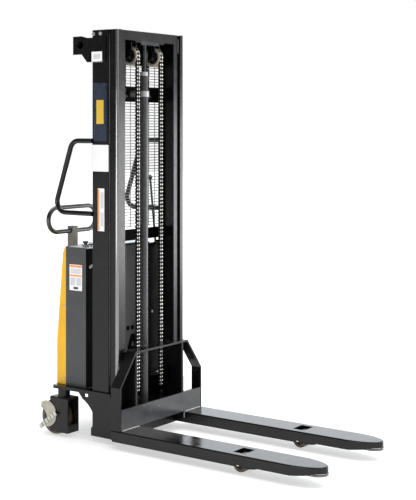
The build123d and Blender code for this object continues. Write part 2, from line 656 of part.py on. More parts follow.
def make_push_handle():
    """A square post carried by an arm under the shelf, and a ring handle through the post."""
    half = POST_SIZE / 2
    wall = 3
    back = POST_FRONT + POST_SIZE
    post = block(-half, half, POST_FRONT, back, POST_BOTTOM, POST_TOP)
    post -= block(-half + wall, half - wall, POST_FRONT + wall, back - wall, POST_BOTTOM, POST_TOP - wall)
    lower = LOOP_Z - LOOP_R
    post -= rod_x(LOOP_TUBE_R, -half, half, LOOP_Y, lower)
    arm = block(-30, 30, ARM_FRONT, POST_FRONT, POST_BOTTOM, SHELF_Z)
    arm -= block(-25, 25, ARM_FRONT, POST_FRONT - 6, POST_BOTTOM + 5, SHELF_Z - 5)
    z0, z1 = STAY_Z
    stay = block(-half, half, STAY_FRONT, POST_FRONT, z0, z1)
    stay -= block(-half + wall, half - wall, STAY_FRONT, POST_FRONT, z0 + wall, z1 - wall)
    save("handle_post", post + arm + stay)
    right = Line((0, LOOP_Y, LOOP_Z + LOOP_R), (LOOP_STRAIGHT, LOOP_Y, LOOP_Z + LOOP_R))
    bend = ThreePointArc((LOOP_STRAIGHT, LOOP_Y, LOOP_Z + LOOP_R),
                         (LOOP_STRAIGHT + LOOP_R, LOOP_Y, LOOP_Z), (LOOP_STRAIGHT, LOOP_Y, lower))
    back_run = Line((LOOP_STRAIGHT, LOOP_Y, lower), (0, LOOP_Y, lower))
    half_loop = tube_along(Wire([right, bend, back_run]), LOOP_TUBE_R)
    save("push_loop", half_loop + flip(half_loop))


# ---- casters ----
def make_casters():
    """Swivel casters: a kingpin on the shelf, a pressed yoke, the wheel and its brake."""
    x = CASTER_X
    stem = rod_z(TURNTABLE_R, x, CASTER_Y, YOKE_TOP + 6, SHELF_Z)
    stem += rod_z(KINGPIN_R, x, CASTER_Y, YOKE_TOP - 12, YOKE_TOP + 6) + hex_z(40, x, CASTER_Y, 180, 187.5)
    stem += rod_z(KINGPIN_R, x, CASTER_Y, 187, YOKE_TOP)
    save_both("caster_mounts", stem)
    yoke = block(x - YOKE_HALF, x + YOKE_HALF, YOKE_FRONT, YOKE_BACK, YOKE_BOTTOM, YOKE_TOP)
    yoke = fillet(yoke.edges().filter_by(Axis.Y).group_by(Axis.Z)[-1], 7)
    sides = (x - YOKE_HALF, x + YOKE_HALF)
    yoke += rod_x(22, *sides, WHEEL_Y, WHEEL_R)
    gap = YOKE_HALF - YOKE_SHEET
    yoke -= block(x - gap, x + gap, YOKE_FRONT + 17, YOKE_BACK + 20, YOKE_BOTTOM, YOKE_TOP - 12)
    yoke -= block(x - gap, x + gap, YOKE_FRONT, YOKE_FRONT + 17, YOKE_BOTTOM + 40, YOKE_TOP - 12)
    yoke += rod_z(TURNTABLE_R, x, CASTER_Y, YOKE_TOP, YOKE_TOP + 5.7)
    yoke -= rod_z(KINGPIN_R + RUN_FIT, x, CASTER_Y, 150, YOKE_TOP + 6)
    yoke -= rod_x(WHEEL_AXLE_R, *sides, WHEEL_Y, WHEEL_R)
    axle = rod_x(WHEEL_AXLE_R, *sides, WHEEL_Y, WHEEL_R)
    nut = hex_x(24, sides[0] - 8, sides[0], WHEEL_Y, WHEEL_R)
    save_pair("caster_yoke", yoke, axle + nut, brake_pin())
    half = WHEEL_WIDTH / 2
    tread = rod_x(WHEEL_R, x - half, x + half, WHEEL_Y, WHEEL_R)
    tread = fillet(tread.edges().filter_by(GeomType.CIRCLE), 5)
    tread -= rod_x(WHEEL_HUB_R, x - half, x + half, WHEEL_Y, WHEEL_R)
    hub = rod_x(WHEEL_HUB_R, x - half + 3, x + half - 3, WHEEL_Y, WHEEL_R)
    hub += rod_x(24, x - half - 4, x + half + 4, WHEEL_Y, WHEEL_R)
    hub -= rod_x(WHEEL_AXLE_R + RUN_FIT, *sides, WHEEL_Y, WHEEL_R)
    save_pair("caster_wheel", tread, hub)
    save_pair("caster_brake", make_brake())


def brake_pin():
    x0 = CASTER_X + YOKE_HALF
    shank = rod_x(BRAKE_PIN_R, x0, x0 + 12, BRAKE_Y, BRAKE_Z)
    return shank + rod_x(8, x0 + 10.5, x0 + 13, BRAKE_Y, BRAKE_Z)


def make_brake():
    """A crescent plate with a diagonal foot lever and its pad, on a pin in the yoke's cheek."""
    x = BRAKE_X
    crescent = rod_x(67, x, x + 4, 526, 107) - rod_x(48, x, x + 4, 572, 86)
    crescent -= block(x, x + 4, 568, 620, 0, 200)
    lever = Pos(x + 6.5, (456 + 568) / 2, (126 + 34) / 2) * Rot(-39.4, 0, 0) * Box(5, 144, 17)
    pad = block(x + 4, x + 9, 530, 578, 27, 48)
    brake = crescent + lever + pad
    return brake - rod_x(BRAKE_PIN_R + RUN_FIT, x, x + 10, BRAKE_Y, BRAKE_Z)


# ---- lift lever ----
def make_lever():
    """A long rod with a ball knob, on a pin behind the mast's right-hand plate."""
    lean = radians(LEVER_LEAN)
    rod = Cylinder(6, LEVER_LENGTH - 8, align=(Align.CENTER, Align.CENTER, Align.MIN))
    lever = Pos(LEVER_X, LEVER_Y, LEVER_Z) * Rot(-LEVER_LEAN, 0, 0) * rod
    knob_y = LEVER_Y + LEVER_LENGTH * sin(lean)
    lever += Pos(LEVER_X, knob_y, LEVER_Z + LEVER_LENGTH * cos(lean)) * Sphere(13)
    lever += rod_x(11, LEVER_X - 8, LEVER_X + 8, LEVER_Y, LEVER_Z)
    lever -= rod_x(LEVER_PIN_R + RUN_FIT, LEVER_X - 20, LEVER_X + 20, LEVER_Y, LEVER_Z)
    save("lift_lever", lever)


os.makedirs("parts", exist_ok=True)
make_base_beam()
make_side_plates()
make_shelf()
make_support_legs()
make_outer_mast()
make_crossmembers()
make_mesh_guard()
make_side_handles()
make_cylinder()
make_inner_mast()
make_pulleys()
make_chains()
make_chain_anchors()
make_forks()
make_carriage()
make_backrest()
make_power_box()
make_pump_cover()
make_rear_cover()
make_console()
make_power_contents()
make_hoses()
make_fasteners()
make_push_handle()
make_casters()
make_lever()
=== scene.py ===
import json
from math import acos, atan2, ceil, cos, hypot, pi, radians, sin, tau

import bmesh
import bpy
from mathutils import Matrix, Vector


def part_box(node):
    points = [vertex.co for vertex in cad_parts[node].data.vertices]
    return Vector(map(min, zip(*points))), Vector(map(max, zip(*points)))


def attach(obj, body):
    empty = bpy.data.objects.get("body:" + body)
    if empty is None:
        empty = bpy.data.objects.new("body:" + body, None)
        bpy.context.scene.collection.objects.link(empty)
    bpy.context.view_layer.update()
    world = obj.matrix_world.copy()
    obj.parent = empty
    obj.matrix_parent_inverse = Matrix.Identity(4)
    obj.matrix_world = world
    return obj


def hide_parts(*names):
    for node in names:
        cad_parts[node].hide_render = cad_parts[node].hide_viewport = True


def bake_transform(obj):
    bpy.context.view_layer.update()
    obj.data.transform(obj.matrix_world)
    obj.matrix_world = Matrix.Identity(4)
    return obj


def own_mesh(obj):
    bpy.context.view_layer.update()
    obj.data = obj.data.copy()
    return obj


# Looks of a two-stage walkie stacker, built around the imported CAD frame. Metres, +Z up,
# forks to -Y. Lengths written with mm() are in millimetres.

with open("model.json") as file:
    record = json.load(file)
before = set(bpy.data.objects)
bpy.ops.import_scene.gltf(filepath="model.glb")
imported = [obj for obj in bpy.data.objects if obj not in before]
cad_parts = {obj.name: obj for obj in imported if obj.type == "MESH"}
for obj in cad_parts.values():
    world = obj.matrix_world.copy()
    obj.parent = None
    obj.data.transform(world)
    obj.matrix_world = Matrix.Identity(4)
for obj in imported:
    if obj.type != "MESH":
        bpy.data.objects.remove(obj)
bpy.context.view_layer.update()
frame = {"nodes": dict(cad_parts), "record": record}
NODES = frame["nodes"]


def mm(*values):
    """Millimetres to metres: one number, or a tuple for several."""
    scaled = tuple(v / 1000 for v in values)
    return scaled[0] if len(scaled) == 1 else scaled


def middle(node):
    low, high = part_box(node)
    return (low + high) / 2


# ---- camera, light and floor ----
CAMERA_AT = (-4.67487, -3.55661, 1.57513)
CAMERA_TURN = -55.257         # degrees round Z, held level
SENSOR, LENS = 36, 84.17      # mm
LENS_SHIFT = (-0.0883, -0.240)
# Each lobe of the world: direction, cosines of the angle where its ramp starts and ends,
# strengths there, colour.
LOBES = [((0.80, -0.50, 0.33), (-0.6, 0.9), (0.12, 1.15), (1, 1, 1)),
         ((0.81, 0.55, 0.20), (0.78, 0.95), (0.0, 1.25), (0.84, 0.92, 1.0))]
# Each area light: name, place, target, size, power in watts.
AREA_LIGHTS = [("key_front_right", (4.6, -3.6, 0.9), (0, 0.2, 0.9), (3.6, 1.7), 160),
               ("soft_left", (-4.7, 0.0, 1.15), (0, 0.3, 1.15), (2.4, 1.3), 62)]
SUN_STRENGTH, SUN_SPREAD, SUN_TILT = 2.4, 50, (8, 6)    # the last two in degrees
FLOOR_HALF = 30


def make_camera():
    data = bpy.data.cameras.new("camera")
    camera = bpy.data.objects.new("camera", data)
    bpy.context.scene.collection.objects.link(camera)
    camera.location = CAMERA_AT
    camera.rotation_euler = (radians(90), 0, radians(CAMERA_TURN))
    data.sensor_width = SENSOR
    data.lens = LENS
    data.shift_x, data.shift_y = LENS_SHIFT
    bpy.context.scene.camera = camera


def area_light(name, place, target, size, power):
    data = bpy.data.lights.new(name, "AREA")
    data.shape = "RECTANGLE"
    data.size, data.size_y = size
    data.energy = power
    light = bpy.data.objects.new(name, data)
    bpy.context.scene.collection.objects.link(light)
    light.location = place
    aim = Vector(target) - Vector(place)
    light.rotation_euler = aim.to_track_quat("-Z", "Y").to_euler()


def make_world():
    """A white surround that lights the object more from the front right than the rear left,
    with a cool bright wall low at the rear right."""
    world = bpy.data.worlds.new("studio")
    bpy.context.scene.world = world
    world.use_nodes = True
    tree = world.node_tree
    tree.nodes.clear()
    link = tree.links.new
    where = tree.nodes.new("ShaderNodeTexCoord")

    def glow(direction, angles, strengths, colour):
        toward = tree.nodes.new("ShaderNodeVectorMath")
        toward.operation = "DOT_PRODUCT"
        toward.inputs[1].default_value = direction
        link(where.outputs["Generated"], toward.inputs[0])
        ramp = tree.nodes.new("ShaderNodeMapRange")
        keys = ("From Min", "From Max", "To Min", "To Max")
        for key, value in zip(keys, angles + strengths):
            ramp.inputs[key].default_value = value
        link(toward.outputs["Value"], ramp.inputs["Value"])
        lit = tree.nodes.new("ShaderNodeBackground")
        lit.inputs["Color"].default_value = (*colour, 1)
        link(ramp.outputs["Result"], lit.inputs["Strength"])
        return lit.outputs["Background"]

    total = tree.nodes.new("ShaderNodeAddShader")
    for socket, lobe in zip(total.inputs, LOBES):
        link(glow(*lobe), socket)
    seen = tree.nodes.new("ShaderNodeBackground")
    seen.inputs["Color"].default_value = (1, 1, 1, 1)
    path = tree.nodes.new("ShaderNodeLightPath")
    mix = tree.nodes.new("ShaderNodeMixShader")
    link(path.outputs["Is Camera Ray"], mix.inputs["Fac"])
    link(total.outputs["Shader"], mix.inputs[1])
    link(seen.outputs["Background"], mix.inputs[2])
    out = tree.nodes.new("ShaderNodeOutputWorld")
    link(mix.outputs["Shader"], out.inputs["Surface"])


def make_lights():
    make_world()
    for settings in AREA_LIGHTS:
        area_light(*settings)
    sun = bpy.data.lights.new("overhead", "SUN")
    sun.energy = SUN_STRENGTH
    sun.angle = radians(SUN_SPREAD)
    light = bpy.data.objects.new("overhead", sun)
    bpy.context.scene.collection.objects.link(light)
    light.rotation_euler = (radians(SUN_TILT[0]), radians(SUN_TILT[1]), 0)
    bpy.context.scene.view_settings.view_transform = "Standard"


def make_floor():
    half = FLOOR_HALF
    mesh = bpy.data.meshes.new("floor")
    corners = [(-half, -half, 0), (half, -half, 0), (half, half, 0), (-half, half, 0)]
    mesh.from_pydata(corners, [], [(0, 1, 2, 3)])
    floor = bpy.data.objects.new("floor", mesh)
    bpy.context.scene.collection.objects.link(floor)
    floor.data.materials.append(FINISH["floor"])


# ---- materials ----
NOISE_RANGE = (0.3, 0.7)      # where most of a noise's values lie
COAT_ROUGHNESS = 0.12
ROUGH_PATCH = 3.1             # roughness patches are this much finer than the colour's
RELIEF = 0.001                # depth of the grain, m


def node(tree, kind, **settings):
    made = tree.nodes.new(kind)
    for key, value in settings.items():
        if key in made.inputs:
            made.inputs[key].default_value = value
        else:
            setattr(made, key, value)
    return made


def noise(tree, where, scale, detail=3.0):
    made = node(tree, "ShaderNodeTexNoise", Scale=scale, Detail=detail)
    tree.links.new(where.outputs["Object"], made.inputs["Vector"])
    return made.outputs["Fac"]


def spread(tree, value, low, high):
    """Maps the middle of a noise's range to low..high."""
    made = tree.nodes.new("ShaderNodeMapRange")
    settings = {"From Min": NOISE_RANGE[0], "From Max": NOISE_RANGE[1],
                "To Min": low, "To Max": high}
    for key, number in settings.items():
        made.inputs[key].default_value = number
    tree.links.new(value, made.inputs["Value"])
    return made.outputs["Result"]


def finish(name, dark, light, rough, grain=300, bump=0.03, patch=9, metallic=0.0,
           coat=0.0, ior=1.5, stretch=None, glow=0.0):
    """A procedural finish: colour drifts from dark to light, roughness over rough's two
    values, and a fine grain makes the bump. stretch scales the grain's X, Y and Z."""
    made = bpy.data.materials.new(name)
    made.use_nodes = True
    tree = made.node_tree
    link = tree.links.new
    shader = tree.nodes["Principled BSDF"]
    shader.inputs["Metallic"].default_value = metallic
    shader.inputs["IOR"].default_value = ior
    shader.inputs["Coat Weight"].default_value = coat
    shader.inputs["Coat Roughness"].default_value = COAT_ROUGHNESS
    shader.inputs["Emission Color"].default_value = (1, 1, 1, 1)
    shader.inputs["Emission Strength"].default_value = glow
    where = tree.nodes.new("ShaderNodeTexCoord")
    ramp = tree.nodes.new("ShaderNodeValToRGB")
    for stop, colour, position in zip(ramp.color_ramp.elements, (dark, light), NOISE_RANGE):
        stop.color = (*colour, 1)
        stop.position = position
    link(noise(tree, where, patch, 5), ramp.inputs["Fac"])
    link(ramp.outputs["Color"], shader.inputs["Base Color"])
    uneven = noise(tree, where, patch * ROUGH_PATCH, 4)
    link(spread(tree, uneven, *rough), shader.inputs["Roughness"])
    fine = node(tree, "ShaderNodeTexNoise", Scale=grain, Detail=2.0)
    source = where.outputs["Object"]
    if stretch:
        mapping = node(tree, "ShaderNodeMapping", Scale=stretch)
        link(source, mapping.inputs["Vector"])
        source = mapping.outputs["Vector"]
    link(source, fine.inputs["Vector"])
    relief = node(tree, "ShaderNodeBump", Strength=bump, Distance=RELIEF)
    link(fine.outputs["Fac"], relief.inputs["Height"])
    link(relief.outputs["Normal"], shader.inputs["Normal"])
    return made


FINISH_VALUES = {
    # name: dark, light, roughness, and what differs from the defaults
    "frame_paint": ((0.0035, 0.0035, 0.004), (0.006, 0.006, 0.007), (0.18, 0.28),
                    dict(grain=420, bump=0.012, ior=1.35)),
    "carriage_paint": ((0.030, 0.032, 0.036), (0.046, 0.049, 0.054), (0.16, 0.28),
                       dict(grain=420, bump=0.02, ior=1.45)),
    # lighter than the frame paint and very reflective: a painted highlight along the outer rails'
    # front corners
    "corner_highlight_gloss": ((0.02, 0.02, 0.021), (0.035, 0.035, 0.036), (0.12, 0.18),
                   dict(grain=420, bump=0.01, ior=2.6)),
    # dull near-black that barely reflects; on the box front skin and corners, the pump cover and
    # the lip beside it, it is painted shade
    "deep_black": ((0.0012, 0.0012, 0.0013), (0.003, 0.003, 0.003), (0.6, 0.75),
                   dict(grain=300, bump=0.05, ior=1.15)),
    "dark_rod": ((0.045, 0.048, 0.052), (0.07, 0.074, 0.08), (0.20, 0.3),
                 dict(metallic=1.0, grain=300, bump=0.02, stretch=(1, 1, 8))),
    "chain_grease": ((0.002, 0.002, 0.002), (0.006, 0.005, 0.004), (0.4, 0.6),
                     dict(grain=600, bump=0.1, ior=1.3)),
    "chain_pin": ((0.05, 0.043, 0.033), (0.09, 0.08, 0.06), (0.3, 0.4),
                  dict(grain=600, bump=0.05, patch=40)),
    "weld_silver": ((0.30, 0.30, 0.30), (0.50, 0.50, 0.50), (0.25, 0.4),
                    dict(metallic=0.8, grain=240, bump=0.3)),
    "fork_paint": ((0.003, 0.003, 0.0033), (0.006, 0.006, 0.0066), (0.12, 0.22),
                   dict(grain=380, bump=0.015, ior=1.38)),
    # lighter and more reflective than the fork paint: a painted highlight on the fork nose lips
    "fork_lip": ((0.012, 0.012, 0.013), (0.022, 0.022, 0.024), (0.08, 0.14),
                 dict(grain=380, bump=0.01, ior=2.2)),
    "box_paint": ((0.046, 0.048, 0.050), (0.058, 0.060, 0.063), (0.30, 0.42),
                  dict(grain=520, bump=0.03, ior=1.4)),
    "panel_grey": ((0.09, 0.09, 0.09), (0.12, 0.12, 0.12), (0.35, 0.5),
                   dict(grain=520, bump=0.03)),
    "cover_yellow": ((0.74, 0.39, 0.008), (0.82, 0.46, 0.012), (0.30, 0.42),
                     dict(grain=520, bump=0.05, coat=0.05, ior=1.4)),
    "panel_silver": ((0.30, 0.31, 0.32), (0.42, 0.43, 0.44), (0.28, 0.42),
                     dict(metallic=0.9, grain=260, bump=0.12, stretch=(1, 12, 1))),
    "black_plastic": ((0.010, 0.010, 0.010), (0.018, 0.018, 0.018), (0.34, 0.48),
                      dict(grain=900, bump=0.12)),
    "bright_steel": ((0.50, 0.50, 0.49), (0.70, 0.70, 0.69), (0.22, 0.38),
                     dict(metallic=1.0, grain=340, bump=0.10)),
    # on the chains this is laid only on the outer plates' front and rear end faces, as painted
    # highlights
    "chain_steel": ((0.36, 0.35, 0.335), (0.60, 0.585, 0.56), (0.20, 0.32),
                    dict(metallic=1.0, grain=600, bump=0.06, patch=40)),
    "mesh_wire": ((0.22, 0.22, 0.23), (0.32, 0.32, 0.33), (0.35, 0.5),
                  dict(metallic=0.8, grain=800, bump=0.05)),
    "pump_metal": ((0.10, 0.10, 0.10), (0.20, 0.20, 0.20), (0.35, 0.5),
                   dict(metallic=0.8, grain=300, bump=0.10)),
    "hose_rubber": ((0.012, 0.012, 0.012), (0.024, 0.024, 0.024), (0.45, 0.62),
                    dict(grain=700, bump=0.15)),
    "cable_grey": ((0.24, 0.24, 0.23), (0.36, 0.36, 0.34), (0.3, 0.45),
                   dict(grain=700, bump=0.05)),
    "nylon": ((0.30, 0.27, 0.22), (0.42, 0.38, 0.31), (0.38, 0.55),
              dict(grain=500, bump=0.08)),
    "pulley_iron": ((0.42, 0.37, 0.28), (0.62, 0.56, 0.45), (0.30, 0.45),
                    dict(metallic=0.55, grain=240, bump=0.10)),
    "brake_cream": ((0.34, 0.33, 0.26), (0.50, 0.49, 0.39), (0.35, 0.5),
                    dict(grain=420, bump=0.15, patch=26)),
    "cast_black": ((0.004, 0.004, 0.004), (0.010, 0.010, 0.0095), (0.3, 0.45),
                   dict(grain=160, bump=0.2, ior=1.38)),
    "tread": ((0.055, 0.042, 0.026), (0.10, 0.08, 0.05), (0.42, 0.6),
              dict(grain=320, bump=0.12)),
    "tube_steel": ((0.055, 0.055, 0.056), (0.085, 0.085, 0.087), (0.22, 0.34),
                   dict(metallic=1.0, grain=300, bump=0.03)),
    "post_grey": ((0.115, 0.115, 0.105), (0.155, 0.155, 0.145), (0.4, 0.55),
                  dict(grain=300, bump=0.04, ior=1.4)),
    "zinc": ((0.34, 0.34, 0.34), (0.48, 0.48, 0.48), (0.3, 0.45),
             dict(metallic=0.5, grain=300, bump=0.05)),
    "brake_silver": ((0.44, 0.44, 0.40), (0.60, 0.60, 0.55), (0.3, 0.4),
                     dict(metallic=0.2, grain=300, bump=0.10, patch=30)),
    "cylinder_paint": ((0.035, 0.037, 0.040), (0.050, 0.053, 0.057), (0.22, 0.32),
                       dict(grain=300, bump=0.04, ior=1.45)),
    "weld": ((0.05, 0.05, 0.052), (0.09, 0.09, 0.092), (0.25, 0.4),
             dict(grain=240, bump=0.3)),
    "label_white": ((0.80, 0.80, 0.80), (0.86, 0.86, 0.86), (0.35, 0.5),
                    dict(grain=300, bump=0.02)),
    "label_navy": ((0.010, 0.016, 0.035), (0.018, 0.026, 0.050), (0.25, 0.35),
                   dict(grain=300, bump=0.02)),
    "label_yellow": ((0.62, 0.40, 0.03), (0.72, 0.48, 0.04), (0.3, 0.4),
                     dict(grain=300, bump=0.02)),
    "label_orange": ((0.80, 0.22, 0.03), (0.86, 0.28, 0.05), (0.3, 0.4),
                     dict(grain=300, bump=0.02)),
    "label_grey": ((0.55, 0.56, 0.57), (0.62, 0.63, 0.64), (0.35, 0.5),
                   dict(grain=300, bump=0.02)),
    "floor": ((0.60, 0.60, 0.60), (0.62, 0.62, 0.62), (0.7, 0.8),
              dict(grain=60, bump=0.01, patch=0.6, glow=0.5)),
}
FINISH = {name: finish(name, dark, light, rough, **extra)
          for name, (dark, light, rough, extra) in FINISH_VALUES.items()}


# ---- mesh helpers: every builder works on a bmesh, in metres ----
def put(name, bm, body, slot, finishes=None, bevel=0.0, smooth=35):
    """Makes the piece from bm. Faces take their material_index from finishes."""
    mesh = bpy.data.meshes.new(name)
    bmesh.ops.recalc_face_normals(bm, faces=bm.faces)
    bm.to_mesh(mesh)
    bm.free()
    piece = bpy.data.objects.new(name, mesh)
    bpy.context.scene.collection.objects.link(piece)
    for each in finishes or [slot]:
        mesh.materials.append(FINISH[each])
    mesh.shade_smooth()
    mesh.set_sharp_from_angle(angle=radians(smooth))
    if bevel:
        round_edges(piece, bevel, smooth)
    if body:
        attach(piece, body)
    return piece


def round_edges(piece, width, angle=35, segments=2):
    edge = piece.modifiers.new("edges", "BEVEL")
    edge.width = width
    edge.segments = segments
    edge.limit_method = "ANGLE"
    edge.angle_limit = radians(angle)
    edge.use_clamp_overlap = True
    even = piece.modifiers.new("shading", "WEIGHTED_NORMAL")
    even.keep_sharp = False
    even.weight = 80


def tag(bm, before, index):
    """Gives every face that was added since before the material at index."""
    bm.faces.ensure_lookup_table()
    for face in bm.faces[before:]:
        face.material_index = index


def frame_of(axis):
    """Two unit vectors across axis, with u x v = axis."""
    along = Vector(axis).normalized()
    u = Vector((0, 0, 1)) if abs(along.z) < 0.9 else Vector((0, 1, 0))
    v = along.cross(u).normalized()
    return v.cross(along).normalized(), v, along


def lathe(bm, profile, centre, axis, segments=48, index=0):
    """Turns profile, (radius, distance along axis) pairs, round axis through centre."""
    before = len(bm.faces)
    u, v, along = frame_of(axis)
    centre = Vector(centre)
    rings = []
    for radius, distance in profile:
        if radius < 1e-6:
            rings.append([bm.verts.new(centre + along * distance)])
            continue
        turn = [tau * k / segments for k in range(segments)]
        rings.append([bm.verts.new(centre + along * distance + (u * cos(t) + v * sin(t)) * radius)
                      for t in turn])
    for ring, following in zip(rings, rings[1:]):
        for k in range(segments):
            corners = [ring[k % len(ring)], ring[(k + 1) % len(ring)],
                       following[(k + 1) % len(following)], following[k % len(following)]]
            unique = list(dict.fromkeys(corners))
            if len(unique) > 2:
                bm.faces.new(unique)
    tag(bm, before, index)


def skin_rings(bm, rings):
    """Joins rings of equal size into a tube and closes its two ends."""
    for ring, following in zip(rings, rings[1:]):
        for k in range(len(ring)):
            turned = (k + 1) % len(ring)
            bm.faces.new([ring[k], ring[turned], following[turned], following[k]])
    bm.faces.new(rings[0])
    bm.faces.new(rings[-1])


def prism(bm, outline, push, index=0):
    """Extrudes a closed outline of 3-D points by the vector push."""
    before = len(bm.faces)
    push = Vector(push)
    near = [bm.verts.new(point) for point in outline]
    far = [bm.verts.new(Vector(point) + push) for point in outline]
    bm.faces.new(near)
    bm.faces.new(list(reversed(far)))
    count = len(outline)
    for k in range(count):
        following = (k + 1) % count
        bm.faces.new([near[k], near[following], far[following], far[k]])
    tag(bm, before, index)


def slab(bm, low, high, index=0):
    x0, y0, z0 = low
    x1, y1, z1 = high
    outline = [(x0, y0, z0), (x1, y0, z0), (x1, y1, z0), (x0, y1, z0)]
    prism(bm, outline, (0, 0, z1 - z0), index)


def arc(cx, cy, radius, start, end, count):
    """count points on a circle, angles in degrees."""
    steps = [radians(start + (end - start) * k / (count - 1)) for k in range(count)]
    return [(cx + radius * cos(t), cy + radius * sin(t)) for t in steps]


def rounded(a0, a1, b0, b1, radius, count=5):
    """Corner points of a rounded rectangle in a plane."""
    return (arc(a1 - radius, b0 + radius, radius, -90, 0, count)
            + arc(a1 - radius, b1 - radius, radius, 0, 90, count)
            + arc(a0 + radius, b1 - radius, radius, 90, 180, count)
            + arc(a0 + radius, b0 + radius, radius, 180, 270, count))


# ---- cords ----
CABLE_ROUTE = [mm(*point) for point in (
    (-214, 489, 1040), (-222, 503, 1012), (-231, 506, 980), (-238, 494, 952),
    (-241, 489, 922), (-239, 498, 894), (-234, 522, 880))]
HOSE_ROUTE = [mm(*point) for point in (
    (0, 398, 98), (0, 442, 98), (20, 486, 100), (60, 536, 118),
    (96, 581, 152), (118, 606, 202), (118, 606, 259))]
CABLE_D, CABLE_LENGTH = 0.007, 0.182
HOSE_D, HOSE_LENGTH = 0.012, 0.338


def make_cord(name, route, diameter, replaced, look):
    curve = bpy.data.curves.new(name, "CURVE")
    curve.dimensions = "3D"
    curve.bevel_depth = diameter / 2
    curve.bevel_resolution = 6
    curve.use_fill_caps = True
    spline = curve.splines.new("NURBS")
    spline.points.add(len(route) - 1)
    for point, place in zip(spline.points, route):
        point.co = (*place, 1)
    spline.order_u = 3
    spline.use_endpoint_u = True
    spline.resolution_u = 16
    cord = bpy.data.objects.new(name, curve)
    bpy.context.scene.collection.objects.link(cord)
    curve.materials.append(FINISH[look])
    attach(cord, "chassis")
    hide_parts(replaced)


def make_cords():
    make_cord("control_cable_run", CABLE_ROUTE, CABLE_D, "control_cable",
              "cable_grey")
    make_cord("hydraulic_hose_run", HOSE_ROUTE, HOSE_D, "hydraulic_hose",
              "hose_rubber")


# ---- lift chains ----
PITCH = 0.01905
LINK_R = mm(8.6)
PLATE_T = mm(2.3)
PLATE_STEP = mm(2.7)
PIN_R = mm(4)
PIN_END = mm(9.6)
WAIST_R = mm(4.6)
BULGE = 125                   # degrees from the link's direction where an end becomes the waist
END_POINTS = 13               # on each round end of a plate
HIGHLIGHT_FACES = (0, 1, 2, 3, 8, 9, 10, 11)    # the edge faces of a round end that are bright steel, a painted highlight
PLATES_EACH_SIDE = 3          # of the chain's middle plate
WRAP_STEPS = 7                # links over half a pulley
CHAIN_X = mm(93)
PULLEY = Vector(mm(0, 381, 1957))
PITCH_R = mm(45)
FRONT_Y = PULLEY.y - PITCH_R
REAR_Y = PULLEY.y + PITCH_R
FRONT_LOW_Z = mm(215)
REAR_LOW_Z = mm(1790)


def link_plate(bm, x, first, second, bright):
    """A waisted plate at x that holds the pins at first and second, (y, z) pairs. A bright
    one has bright steel on the front and rear faces of its round ends, a painted highlight, and the
    rest is dark with grease."""
    run = (second[0] - first[0], second[1] - first[1])
    heading = atan2(run[1], run[0]) * 180 / pi
    middle_at = ((first[0] + second[0]) / 2, (first[1] + second[1]) / 2)
    length = hypot(*run)
    across = (-run[1] / length * WAIST_R, run[0] / length * WAIST_R)
    side = [(middle_at[0] + across[0], middle_at[1] + across[1])]
    other = [(middle_at[0] - across[0], middle_at[1] - across[1])]
    back = heading + 180
    outline = (arc(*second, LINK_R, heading - BULGE, heading + BULGE, END_POINTS) + side
               + arc(*first, LINK_R, back - BULGE, back + BULGE, END_POINTS) + other)
    before = len(bm.faces)
    prism(bm, [(x - PLATE_T / 2, y, z) for y, z in outline], (PLATE_T, 0, 0), 1)
    bm.faces.ensure_lookup_table()
    first_edge = before + 2
    for k in HIGHLIGHT_FACES if bright else ():
        bm.faces[first_edge + k].material_index = 0
        bm.faces[first_edge + END_POINTS + 1 + k].material_index = 0


def chain(bm, x, pins, offset=0):
    """Leaf chain through pins: plates of one set lie between those of the other, and only
    the outer ones carry bright painted highlights."""
    spots = range(-PLATES_EACH_SIDE, PLATES_EACH_SIDE + 1)
    for k, (first, second) in enumerate(zip(pins, pins[1:])):
        for spot in spots[(k + offset) % 2::2]:
            link_plate(bm, x + PLATE_STEP * spot, first, second, abs(spot) > 1)
    for y, z in pins:
        ends = [(0, -PIN_END), (PIN_R, -PIN_END), (PIN_R, PIN_END), (0, PIN_END)]
        lathe(bm, ends, (x, y, z), (1, 0, 0), 10, 2)


def straight_pins(y, top, bottom):
    count = int((top - bottom - LINK_R) / PITCH)
    return [(y, top - PITCH * k) for k in range(count + 1)]


def wrap_pins():
    turns = [radians(180 / WRAP_STEPS * k) for k in range(WRAP_STEPS + 1)]
    return [(PULLEY.y + PITCH_R * cos(t), PULLEY.z + PITCH_R * sin(t)) for t in turns]


def both_chains(name, pins, body, offset=0):
    bm = bmesh.new()
    for x in (-CHAIN_X, CHAIN_X):
        chain(bm, x, pins, offset)
    finishes = ["chain_steel", "chain_grease", "chain_pin"]
    return put(name, bm, body, "chain_steel", finishes, smooth=30)


def make_chains():
    front = both_chains("chain_front_strands", straight_pins(FRONT_Y, PULLEY.z, FRONT_LOW_Z),
                        "inner_mast")
    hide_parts("front_chains")
    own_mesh(front)
    both_chains("chain_over_pulleys", wrap_pins(), "inner_mast", 1)
    rear = both_chains("chain_rear_strands", straight_pins(REAR_Y, PULLEY.z, REAR_LOW_Z), None)
    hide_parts("rear_chains")
    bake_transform(rear)


